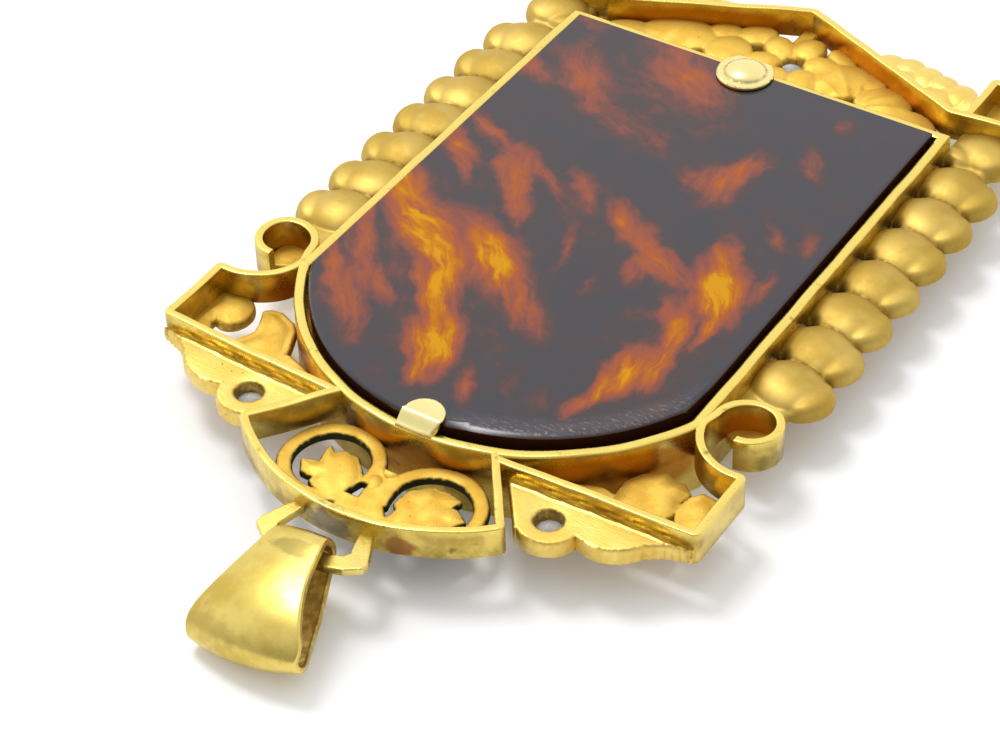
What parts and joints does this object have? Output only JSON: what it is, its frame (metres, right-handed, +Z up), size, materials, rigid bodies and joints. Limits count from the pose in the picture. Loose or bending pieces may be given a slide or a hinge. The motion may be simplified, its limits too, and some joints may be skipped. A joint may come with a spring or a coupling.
{
  "type": "cameo pendant",
  "caption": "Openwork gold pendant lying on its front: tombstone bezel with tortoiseshell back, scrolled wings, leaf garlands, gable end and a swinging bail.",
  "frame": {"origin": "on the surface that the pendant lies on, under the middle of its whole outline", "axes": "+X across the pendant, +Y from the bail end to the pointed far end, +Z up out of the pendant's back"},
  "size_m": [0.0332, 0.0582, 0.0054],
  "materials": {
    "gold": "soldered yellow gold, satin from wear, darker in the corners",
    "tortoiseshell": "polished dark tortoiseshell with amber and red streaks",
    "carved_shell": "smooth polished shell",
    "clear_stone": "clear faceted stone"
  },
  "bodies": {
    "pendant": {"frame": "gold", "back_plate": "tortoiseshell", "cameo_panel": "carved_shell", "stone_left": "clear_stone", "stone_right": "clear_stone", "stone_gable": "clear_stone"},
    "bail": {"bail": "gold"}
  },
  "joints": [
    {"name": "bail_swing", "type": "hinge", "parent": "pendant", "child": "bail", "pos_m": [0, -0.023, 0.00325], "axis": [0.9875, 0.0172, 0.1564], "range_deg": [-115, 95]}
  ]
}
